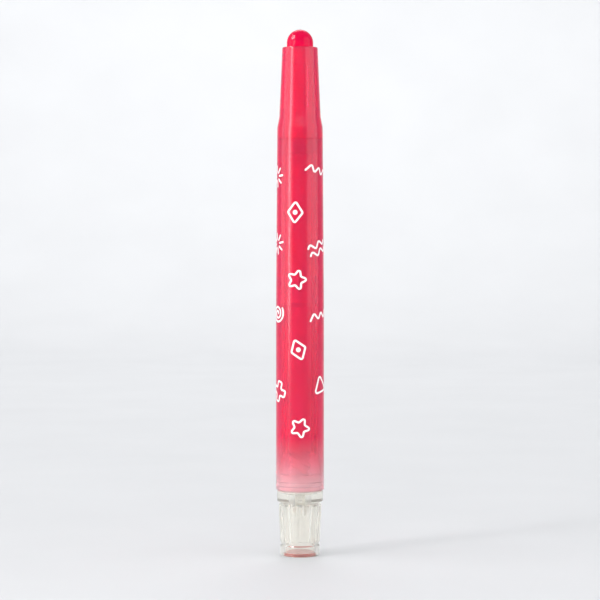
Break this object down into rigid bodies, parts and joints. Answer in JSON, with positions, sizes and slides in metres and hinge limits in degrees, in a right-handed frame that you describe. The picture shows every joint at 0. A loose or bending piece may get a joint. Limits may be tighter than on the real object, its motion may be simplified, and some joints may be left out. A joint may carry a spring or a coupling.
{
  "type": "twist crayon",
  "caption": "Slim twist crayon: translucent rose sleeve with a tapered nose, and a clear ribbed tail knob whose screw drives a keyed carrier that pushes the wax stick out.",
  "frame": {"origin": "centre of the flat foot of the twist knob", "axes": "+Z along the crayon's axis from the knob's foot to the wax tip; +X and +Y across it"},
  "size_m": [0.012, 0.012, 0.1313],
  "materials": {
    "rose_plastic": "translucent moulded polypropylene",
    "clear_plastic": "clear moulded polystyrene",
    "natural_plastic": "natural white moulded plastic",
    "plug_plastic": "pale rose translucent moulded plastic",
    "wax": "satin wax"
  },
  "bodies": {
    "barrel": {"barrel": "rose_plastic", "nose_cone": "rose_plastic"},
    "knob": {"twist_knob": "clear_plastic", "screw_spindle": "natural_plastic", "tail_plug": "plug_plastic"},
    "stick": {"wax_stick": "wax", "stick_carrier": "natural_plastic"}
  },
  "joints": [
    {"name": "twist", "type": "hinge", "parent": "barrel", "child": "knob", "pos_m": [0, 0, 0.0125], "axis": [0, 0, 1], "range_deg": [-360.1, 2160.1]},
    {"name": "stick_slide", "type": "slide", "parent": "barrel", "child": "stick", "axis": [0, 0, 1], "range_m": [-0.005, 0.03]}
  ],
  "couplings": [
    {"joint": "twist", "follows": "stick_slide", "rad_per_m": 1256.6}
  ]
}
